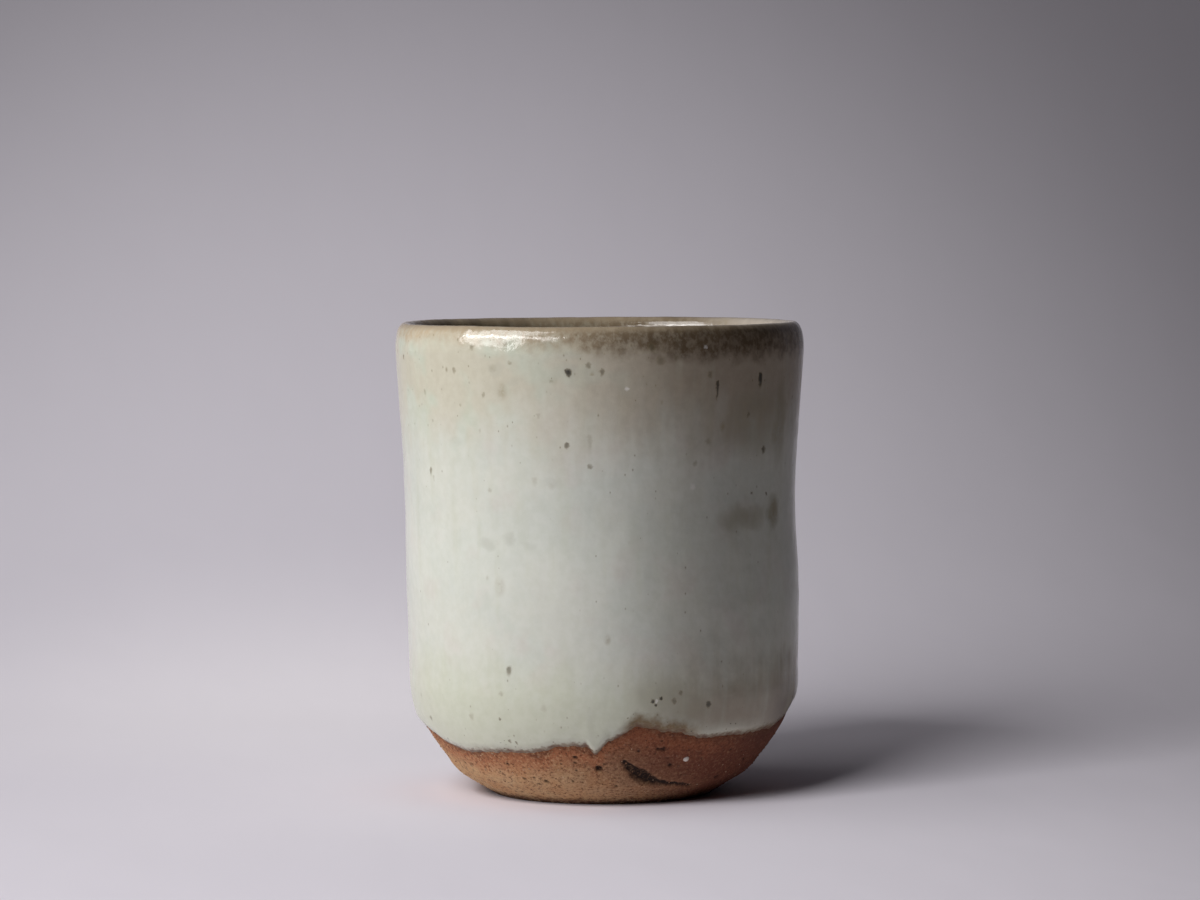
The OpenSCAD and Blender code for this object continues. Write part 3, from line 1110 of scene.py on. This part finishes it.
clay = {
    "fineStep": 0.24,  # millimetres between rows where the clay is bare
    "recessStep": 0.9,
    "hiddenStep": 3.2,
    "bareTop": 14.5,
    "sandy": 0.07,  # relief in millimetres
    "sandySize": 0.9,
    "lumps": 0.13,
    "lumpSize": 5.0,
    "outward": (0.3, 0.15),  # upward lean of a face that has no relief, and of one that has all of it
    "belowGlaze": (0.4, -0.2),  # the same in millimetres above the edge of the glaze
    "overFoot": (0.0, 0.6),
    "footShare": 0.3,  # of the relief, at the height where the cup stands
    "pitDepth": 0.5,  # share of a pit's size
    "pitFloor": 0.45,  # share of a pit's width that is full depth
    "pitRagged": 0.5,
    "pitRaggedSize": 0.7,
    "pits": [  # angle, height and half width in millimetres
        (-1.4, 6.1, 0.7), (-35.4, 6.3, 0.32), (-30.3, 4.1, 0.32), (-21.8, 3.8, 0.45), (-25.2, 3.4, 0.26),
        (-11.1, 4.1, 0.28), (-9.2, 7.8, 0.36), (-9.4, 7.0, 0.3), (5.0, 3.3, 0.36), (17.6, 9.1, 0.45),
        (19.6, 9.0, 0.5), (23.7, 6.4, 0.45), (35.3, 7.1, 0.3), (48.8, 3.6, 0.5), (-24.4, 5.5, 0.22),
        (-55.0, 5.5, 0.3), (60.0, 6.0, 0.36), (80.0, 7.0, 0.5), (115.0, 6.0, 0.5), (160.0, 5.0, 0.45),
        (200.0, 7.5, 0.5), (250.0, 6.2, 0.4), (300.0, 5.5, 0.4),
    ],
    "gouge": [(6.9, 7.2, 0.5), (9.5, 6.1, 0.95), (12.5, 5.1, 1.3), (16.0, 4.3, 1.35), (20.0, 3.7, 1.0),
              (24.7, 3.4, 0.65), (30.5, 3.1, 0.6), (38.8, 2.6, 0.5)],
    "gougeSteps": 5,
}


def makeTrimming():
    # relief of the bare clay: sand, lumps, pits and one gouge, which is a row of pits
    group, bench, given, result = newGroup(
        "trimFoot", "GeometryNodeTree",
        {"Mesh": "Geometry", "Pits": "Object", "Sandy": 0.0, "Lumps": 0.0, "Pit Depth": 0.0},
        {"Mesh": "Geometry"})
    here = bench.output("GeometryNodeInputPosition")
    normal = bench.output("GeometryNodeInputNormal")
    x, y, z = bench.split(here)
    angle = bench.calc("ARCTAN2", x, bench.times(y, -1.0))
    above = bench.minus(z, bench.use(edgeLine, Angle=angle)["Height"])
    outer = bench.ramp(bench.split(normal)[2], *clay["outward"])
    bare = bench.times(outer, bench.rise(above, clay["belowGlaze"]),
                       bench.rise(z, clay["overFoot"], clay["footShare"], 1.0))
    relief = bench.times(bench.sway(here, clay["sandySize"] * mm, 1.0, 3.0), given["Sandy"])
    lumps = bench.sway(here, clay["lumpSize"] * mm, 1.0, 2.0)
    relief = bench.calc("MULTIPLY_ADD", lumps, given["Lumps"], relief)

    pits = bench.add("GeometryNodeObjectInfo", {"Object": given["Pits"]}).outputs["Geometry"]
    nearest = bench.output("GeometryNodeSampleNearest", {"Geometry": pits}, domain="POINT")
    half = sampleAt(bench, pits, nearest, storedValue(bench, "half"), "FLOAT")
    away = bench.vector("DISTANCE", here, sampleAt(bench, pits, nearest))
    ragged = bench.sway(here, clay["pitRaggedSize"] * mm, clay["pitRagged"], 3.0)
    pit = bench.ramp(bench.plus(bench.calc("DIVIDE", away, half), ragged), 1.0, clay["pitFloor"])
    relief = bench.minus(relief, bench.times(pit, half, given["Pit Depth"]))

    kept = storeValue(bench, given["Mesh"], "aboveEdge", above)
    # where painted shade goes: the pits on the bare clay
    kept = storeValue(bench, kept, "hollow", bench.times(pit, bare))
    kept = storeValue(bench, kept, "bare", bare)
    moved = setPlace(bench, kept, Offset=bench.stretch(normal, bench.times(relief, bare)))
    bench.give(result, Mesh=moved)
    return group


def gougePits():
    steps = clay["gougeSteps"]
    row = []
    for start, end in zip(clay["gouge"], clay["gouge"][1:]):
        row += [tuple(Vector(start).lerp(Vector(end), i / steps)) for i in range(steps)]
    return row


def clayStep(point):
    if point.y > clay["bareTop"] * mm:
        return clay["hiddenStep"] * mm
    return (clay["recessStep"] if point.x < thrown["recess"][0] * mm else clay["fineStep"]) * mm


clayRows = walkPath(footPath + outsidePath[1:], clayStep)
clayRows += walkPath(insidePath, even(clay["hiddenStep"]))[-2::-1]
clayHolder = profileObject("clayProfile", upright(clayRows[::-1]))
pitList = clay["pits"] + gougePits()
pitHolder = profileObject("clayPits", [onWall(outsidePath, angle, height) for angle, height, _ in pitList])
pointValues(pitHolder, "half", [half * mm for _, _, half in pitList])
nodesModifier(clayHolder, wheel, Segments=thrown["segments"], Material=clayFinish())
nodesModifier(clayHolder, makeTrimming(), Pits=pitHolder, Sandy=clay["sandy"] * mm, Lumps=clay["lumps"] * mm,
              Pit_Depth=clay["pitDepth"])
clayPiece = finishPiece("thrown_clay", clayHolder, "bare_clay", "clay_body")
bpy.data.objects.remove(pitHolder)

# Sand grains that stand out of the bare clay

sand = {
    "grains": 1500,
    "least": 0.06,  # millimetres
    "most": 0.16,
    "spin": 6.28,  # radians
    "seed": 7,
    "toneSeed": 3,
    "bareShare": 1.3,  # bare area, in discs as wide as the shoulder
    "umber": (0.5, 0.0, 0.0, 0.8),  # which grains are darker or paler: from, to and share at both
    "chalk": (0.85, 1.0, 0.0, 0.6),
    "rough": (0.8, 0.5),
}


def sandFinish():
    material, bench, shader = newFinish("claySand")
    tone = attribute(bench, "tone")
    color = bench.use(sandyClay)["Color"]
    for name in ("umber", "chalk"):
        color = bench.paint(bench.ramp(tone, *sand[name]), color, clayTones[name])
    bench.give(shader.inputs, Base_Color=color, Roughness=bench.ramp(tone, 0.0, 1.0, *sand["rough"]))
    return material


def makeSandScatter():
    group, bench, given, result = newGroup(
        "scatterSand", "GeometryNodeTree",
        {"Mesh": "Geometry", "Density": 1.0, "Least": 0.0001, "Most": 0.0003, "Seed": 0,
         "Material": "Material"},
        {"Mesh": "Geometry"})
    density = bench.times(storedValue(bench, "bare"), given["Density"])
    spread = bench.add("GeometryNodeDistributePointsOnFaces", {
        "Mesh": given["Mesh"], "Seed": given["Seed"], "Density": density})
    grain = bench.add("GeometryNodeMeshIcoSphere", {"Radius": 1.0, "Subdivisions": 1}).outputs["Mesh"]
    spin = bench.add("FunctionNodeRandomValue", {"Seed": given["Seed"]}, data_type="FLOAT_VECTOR")
    bench.feed(spin.inputs["Max"], (sand["spin"],) * 3)
    size = bench.add("FunctionNodeRandomValue", {"Seed": given["Seed"]}, data_type="FLOAT_VECTOR")
    for end, name in (("Min", "Least"), ("Max", "Most")):
        bench.feed(size.inputs[end], bench.join(given[name], given[name], given[name]))
    placed = bench.add("GeometryNodeInstanceOnPoints", {
        "Points": spread.outputs["Points"], "Instance": grain, "Rotation": spin.outputs[0],
        "Scale": size.outputs[0]})
    tone = bench.add("FunctionNodeRandomValue", {"Seed": sand["toneSeed"]}, data_type="FLOAT").outputs[1]
    toned = storeValue(bench, placed.outputs[0], "tone", tone, "INSTANCE")
    bench.give(result, Mesh=dressed(bench, toned, given["Material"]))
    return group


bareArea = math.pi * (thrown["shoulder"][0] * mm) ** 2 * sand["bareShare"]
sandHolder = addObject("sandHolder", clayPiece.data.copy())
nodesModifier(sandHolder, makeSandScatter(), Density=sand["grains"] / bareArea, Least=sand["least"] * mm,
              Most=sand["most"] * mm, Seed=sand["seed"], Material=sandFinish())
sandPiece = finishPiece("clay_sand", sandHolder, "bare_clay")

# Outer glaze, from its wavy lower edge up to the lip

glaze = {
    "edgeStep": 0.1,  # millimetres between rows at the lower edge
    "edgeRows": 24,
    "wallStep": 0.62,
    "hiddenRows": 12,
    "sunk": -0.4,  # the inner skin lies this share of the coat inside the clay
    "roll": 1.5,  # height in millimetres of the tapered lower edge
    "gathered": 0.3,  # how much thicker the coat is where it gathers at the edge
    "gatherHeight": 6.0,
    "dripAngle": -2.7,
    "dripHalf": 4.5,
    "dripFat": 0.35,
    "swell": 0.07,
    "peel": 0.05,  # depth in millimetres of the finest unevenness
    "tableBelow": 5.0,  # the table of radii starts this far below the edge
    "tableSteps": 240,
}


def makeGlazeShell():
    group, bench, given, result = newGroup(
        "pourGlaze", "GeometryNodeTree",
        {"Rows": "Geometry", "Wall": "Object", "Segments": thrown["segments"], "Roll": 0.0007,
         "Gathered": 0.5, "Gather Height": 0.005, "Drip Fat": 0.5, "Swell": 0.0, "Material": "Material"},
        {"Mesh": "Geometry"})
    wall = bench.add("GeometryNodeObjectInfo", {"Object": given["Wall"]}).outputs["Geometry"]
    last = bench.minus(pointCount(bench, wall), 1.0)
    low = bench.split(sampleAt(bench, wall, 0))[2]
    high = bench.split(sampleAt(bench, wall, last))[2]
    ring = bench.use(ringGrid, Rows=pointCount(bench, given["Rows"]), Segments=given["Segments"])
    share, _, climb = bench.split(sampleAt(bench, given["Rows"], ring["Row"]))
    edge = bench.use(edgeLine, Angle=ring["Angle"])["Height"]
    height = bench.blend(climb, edge, high)
    above = bench.minus(height, edge)

    # radius of the clay and of the full coat at this height
    step = bench.calc("DIVIDE", bench.minus(high, low), last)
    reach = bench.calc("DIVIDE", bench.minus(height, low), step)
    floor = bench.calc("FLOOR", reach)
    part = bench.minus(reach, floor)
    here = bench.split(sampleAt(bench, wall, floor))
    there = bench.split(sampleAt(bench, wall, bench.plus(floor, 1.0)))
    clayRadius = bench.blend(part, here[0], there[0])
    coat = bench.minus(bench.blend(part, here[1], there[1]), clayRadius)

    # the coat rounds off at its edge and is thicker just above it
    left = bench.minus(1.0, bench.calc("MINIMUM", bench.calc("DIVIDE", above, given["Roll"]), 1.0))
    roll = bench.minus(1.0, bench.times(left, left))
    nearEdge = bench.ramp(above, given["Gather Height"], 0.0)
    gather = bench.times(nearEdge, given["Gathered"])
    off = angleOff(bench, ring["Angle"], glaze["dripAngle"])
    drip = bench.times(bench.ramp(off, glaze["dripHalf"] * degree, 0.0), nearEdge)
    fat = bench.plus(gather, 1.0, bench.times(drip, given["Drip Fat"]))
    place = ringPlace(bench, clayRadius, ring["Angle"], height)
    swell = bench.times(glazeRipple(bench, place, bench.minus(high, height)), given["Swell"])
    full = bench.times(bench.calc("MULTIPLY_ADD", coat, fat, swell), roll)
    outer = bench.calc("GREATER_THAN", share, 0.0)
    lift = bench.blend(outer, bench.times(coat, share), full)
    radius = bench.plus(clayRadius, lift)
    onCup = bench.use(handThrown, Position=ringPlace(bench, radius, ring["Angle"], height))["Position"]
    kept = storeValue(bench, ring["Mesh"], "aboveEdge", above)
    moved = setPlace(bench, kept, Position=onCup)
    bench.give(result, Mesh=bench.use(closeUp, Mesh=moved, Material=given["Material"])["Mesh"])
    return group


wallLow = (glazeEdge["height"] - glaze["tableBelow"]) * mm
wallTable = []
for i in range(glaze["tableSteps"] + 1):
    level = wallLow + (bandHeight - wallLow) * i / glaze["tableSteps"]
    wallTable.append((radiusAt(outsidePath, level), radiusAt(skinOut, level), level))
wallHolder = profileObject("glazeWall", wallTable)
wallRun = bandHeight / mm - glazeEdge["height"]
climbs = [i * glaze["edgeStep"] / wallRun for i in range(glaze["edgeRows"])]
upperRows = round((1 - climbs[-1]) * wallRun / glaze["wallStep"])
climbs += [climbs[-1] + (1 - climbs[-1]) * (i + 1) / upperRows for i in range(upperRows)]
shellRows = [(1.0, 0.0, climb) for climb in climbs]
shellRows += [(glaze["sunk"], 0.0, 1 - i / glaze["hiddenRows"]) for i in range(glaze["hiddenRows"] + 1)]
shellRows.append(shellRows[0])
glazeHolder = profileObject("glazeRows", shellRows[::-1])
nodesModifier(
    glazeHolder, makeGlazeShell(), Wall=wallHolder, Segments=thrown["segments"], Roll=glaze["roll"] * mm,
    Gathered=glaze["gathered"], Gather_Height=glaze["gatherHeight"] * mm, Drip_Fat=glaze["dripFat"],
    Swell=glaze["swell"] * mm, Material=glazeFinish("paleGlaze", glaze["peel"], hasEdge=True))
glazePiece = finishPiece("pale_glaze_coat", glazeHolder, "pale_glaze", "outer_glaze")
bpy.data.objects.remove(wallHolder)

# Brown glaze over the lip, and the glaze inside

lipCoat = {"step": 0.3, "hiddenStep": 1.5, "swell": 0.09, "peel": 0.14}
innerCoat = {"step": 0.9, "hiddenStep": 3.0, "swell": 0.07, "peel": 0.05}


def roundCoat(name, slot, node, rows, coat, finish, inside=0.0):
    holder = profileObject(finish + "Profile", upright(rows))
    nodesModifier(holder, wheel, Segments=thrown["segments"], Glaze_Swell=coat["swell"] * mm,
                  Swell_From=bandHeight, Material=glazeFinish(finish, coat["peel"], inside=inside))
    return finishPiece(name, holder, slot, node)


rimRows = walkPath(cutPath(skinOut, bandHeight, False) + cutPath(skinIn, bandHeight, False)[::-1],
                   even(lipCoat["step"]))
rimRows += walkPath(cutPath(insidePath, bandHeight, False) + cutPath(outsidePath, bandHeight, False)[::-1],
                    even(lipCoat["hiddenStep"]))
rimRows.append(rimRows[0])
rimPiece = roundCoat("brown_lip_coat", "brown_rim_glaze", "rim_glaze", rimRows[::-1], lipCoat,
                     "brownLipGlaze")

innerRows = walkPath(cutPath(skinIn, bandHeight, True), even(innerCoat["step"]))
innerRows += walkPath(cutPath(insidePath, bandHeight, True)[::-1], even(innerCoat["hiddenStep"]))
innerPiece = roundCoat("inside_glaze_coat", "inside_glaze", "inner_glaze", innerRows, innerCoat,
                       "insideGlaze", inside=1.0)

# Quartz stones seated in the bare clay: angle, height and size in millimetres

quartz = {
    "stones": [(29.0, 7.3, 1.0), (128.0, 5.8, 0.8), (221.0, 7.0, 1.1)],
    "sink": 0.15,
    "fineness": 4,
    "chips": 0.12,
    "chipSize": 0.6,
    "chipMiddle": 0.4,
    "pale": tint(240, 232, 222),
    "warm": tint(205, 182, 160),
    "cloudSize": 0.4,
    "warmFrom": (0.35, 0.7),
    "rough": (0.3, 0.7, 0.25, 0.5),
    "relief": 0.08,
}


def quartzFinish():
    material, bench, shader = newFinish("quartz")
    cloud = bench.noise(bench.use(wallMap)["Place"], quartz["cloudSize"] * mm, 3.0)
    color = bench.paint(bench.ramp(cloud, *quartz["warmFrom"]), quartz["pale"], quartz["warm"])
    bench.give(shader.inputs, Base_Color=color, Roughness=bench.ramp(cloud, *quartz["rough"]))
    bump(bench, shader, cloud, quartz["relief"])
    return material


def makeStones():
    group, bench, given, result = newGroup(
        "seatStones", "GeometryNodeTree", {"Places": "Geometry", "Chips": 0.1, "Material": "Material"},
        {"Mesh": "Geometry"})
    ball = {"Radius": mm / 2, "Subdivisions": quartz["fineness"]}
    stone = bench.add("GeometryNodeMeshIcoSphere", ball).outputs["Mesh"]
    placed = bench.add("GeometryNodeInstanceOnPoints", {
        "Points": given["Places"], "Instance": stone, "Scale": storedValue(bench, "size")})
    real = bench.output("GeometryNodeRealizeInstances", {"Geometry": placed.outputs[0]})
    cells = {"Vector": bench.output("GeometryNodeInputPosition"), "Scale": 1 / (quartz["chipSize"] * mm)}
    facets = bench.add("ShaderNodeTexVoronoi", cells).outputs["Distance"]
    chip = bench.times(bench.minus(facets, quartz["chipMiddle"]), given["Chips"])
    chipped = setPlace(bench, real, Offset=bench.stretch(bench.output("GeometryNodeInputNormal"), chip))
    bench.give(result, Mesh=dressed(bench, chipped, given["Material"]))
    return group


stonePlaces = [onWall(outsidePath, angle, height, -quartz["sink"]) for angle, height, _ in quartz["stones"]]
stoneHolder = profileObject("stonePlaces", stonePlaces)
pointValues(stoneHolder, "size", [size for _, _, size in quartz["stones"]])
nodesModifier(stoneHolder, makeStones(), Chips=-quartz["chips"] * mm, Material=quartzFinish())
stonePiece = finishPiece("quartz_stones", stoneHolder, "quartz", "quartz_grains")

# Sheet of paper that sweeps up behind the cup

studio = {
    "paper": tint(227, 223, 232),
    "shade": tint(122, 119, 125),  # the same paper where it is far from the windows
    "brightAt": (-0.054, -0.036, 0.063),
    "shadeStretch": (2.0, 1.0, 2.4),
    "shadeFrom": 0.183,
    "shadeTo": 0.58,
    "glow": tint(253, 249, 255),  # where the pale side of the cup throws light back
    "glowAt": (-0.04, 0.098, 0.0),
    "glowReach": 0.117,
    "glowEdge": (0.02, -0.02),  # from the right side of the cup, where there is none, to the left
    "side": 0.9,
    "front": -0.9,
    "bend": 0.08,  # where the floor starts to rise, in metres behind the cup
    "bendRadius": 0.35,
    "top": 1.0,
    "bendSteps": 48,
    "creases": 0.6,  # depth in millimetres
    "creaseSize": 0.05,
    "creaseStretch": (1.0, 0.6, 0.6),
    "rough": 0.9,
    "shine": 0.2,
}


def makePaper():
    # paler near the windows, and clear from behind so that the cup can be seen from every side
    material, bench, shader = newFinish("paper")
    place = bench.add("ShaderNodeTexCoord").outputs["Object"]
    away = bench.vector("SUBTRACT", place, studio["brightAt"])
    away = bench.vector("LENGTH", bench.vector("MULTIPLY", away, studio["shadeStretch"]))
    far = bench.ramp(away, studio["shadeFrom"], studio["shadeTo"])
    color = bench.paint(far, studio["paper"], studio["shade"])
    near = bench.ramp(bench.vector("DISTANCE", place, studio["glowAt"]), studio["glowReach"], 0.0)
    near = bench.times(near, bench.ramp(bench.split(place)[0], *studio["glowEdge"]))
    color = bench.paint(near, color, studio["glow"])
    bench.give(shader.inputs, Base_Color=color, Roughness=studio["rough"], Specular_IOR_Level=studio["shine"])
    spread = bench.vector("MULTIPLY", place, studio["creaseStretch"])
    soft = bench.noise(spread, studio["creaseSize"], 3.0, 0.6)
    bump(bench, shader, soft, studio["creases"])
    back = bench.add("ShaderNodeNewGeometry").outputs["Backfacing"]
    clear = bench.output("ShaderNodeBsdfTransparent")
    seen = bench.add("ShaderNodeMixShader", {0: back, 1: shader.outputs[0], 2: clear})
    bench.feed(bench.tree.nodes["Material Output"].inputs["Surface"], seen.outputs[0])
    return material


def makeSweep():
    rows = [(studio["front"], 0.0)]
    for i in range(studio["bendSteps"] + 1):
        turn = math.pi / 2 * i / studio["bendSteps"]
        rows.append((studio["bend"] + studio["bendRadius"] * math.sin(turn),
                     studio["bendRadius"] * (1 - math.cos(turn))))
    rows.append((studio["bend"] + studio["bendRadius"], studio["top"]))
    points = [(x, y, z) for y, z in rows for x in (-studio["side"], studio["side"])]
    faces = [(2 * i, 2 * i + 1, 2 * i + 3, 2 * i + 2) for i in range(len(rows) - 1)]
    mesh = bpy.data.meshes.new("paperSweep")
    mesh.from_pydata(points, [], faces)
    mesh.shade_smooth()
    mesh.materials.append(makePaper())
    sweep = addObject("paper_sweep", mesh)
    return sweep


sweep = makeSweep()

# Light: soft windows to the left, each for the cup or for the paper

windows = [
    {"onto": "cup", "turn": -64.0, "rise": 36.0, "away": 0.5, "wide": 0.3, "tall": 0.45, "watts": 2.95},
    {"onto": "cup", "turn": -52.0, "rise": 29.0, "away": 0.5, "wide": 0.46, "tall": 0.05, "watts": 1.05,
     "gloss": True},
    {"onto": "paper", "turn": -35.0, "rise": 35.0, "away": 1.0, "wide": 0.5, "tall": 0.5, "watts": 9.6},
    {"onto": "paper", "turn": -82.0, "rise": 58.0, "away": 1.0, "wide": 0.7, "tall": 0.5, "watts": 1.7},
]
room = {"light": (1.0, 0.985, 0.98), "beyond": tint(132, 129, 136)}


def makeReceivers(name, pieces):
    collection = bpy.data.collections.new(name)
    for piece in pieces:
        collection.objects.link(piece)
    return collection


def makeWindow(window):
    lamp = bpy.data.lights.new("window", "AREA")
    lamp.shape = "RECTANGLE"
    lamp.size = window["wide"]
    lamp.size_y = window["tall"]
    lamp.energy = window["watts"]
    lamp.color = room["light"]
    turn, rise = math.radians(window["turn"]), math.radians(window["rise"])
    towards = Vector((math.sin(turn) * math.cos(rise), -math.cos(turn) * math.cos(rise), math.sin(rise)))
    holder = addObject("window", lamp)
    holder.location = Vector((0, 0, crestHeight / 2)) + towards * window["away"]
    holder.rotation_euler = towards.to_track_quat("Z", "Y").to_euler()
    holder.light_linking.receiver_collection = receivers[window["onto"]]
    holder.visible_diffuse = not window.get("gloss")


def makeRoom():
    # grey where the camera looks past the paper, and no light from there
    world = bpy.data.worlds.new("room")
    world.use_nodes = True
    bench = Bench(world.node_tree)
    sky = world.node_tree.nodes["Background"]
    sky.inputs["Color"].default_value = room["beyond"]
    bench.feed(sky.inputs["Strength"], bench.add("ShaderNodeLightPath").outputs["Is Camera Ray"])
    bpy.context.scene.world = world


receivers = {
    "cup": makeReceivers("cupLit", [clayPiece, sandPiece, glazePiece, rimPiece, innerPiece, stonePiece]),
    "paper": makeReceivers("paperLit", [sweep]),
}
for window in windows:
    makeWindow(window)
makeRoom()

# Camera at the photograph's viewing angle

view = {"back": 0.611, "side": -0.00022, "height": 0.0846, "down": 3.23, "roll": -0.25,
        "lens": 124.9, "sensor": 36.0}


def makeCamera():
    data = bpy.data.cameras.new("camera")
    data.lens = view["lens"]
    data.sensor_width = view["sensor"]
    holder = addObject("camera", data)
    holder.location = (view["side"], -view["back"], view["height"])
    tilt = Matrix.Rotation(math.radians(90 - view["down"]), 3, "X")
    holder.rotation_euler = (tilt @ Matrix.Rotation(math.radians(view["roll"]), 3, "Z")).to_euler()
    bpy.context.scene.camera = holder


makeCamera()
bpy.context.scene.view_settings.view_transform = "Standard"
print("stage, light and camera ready")
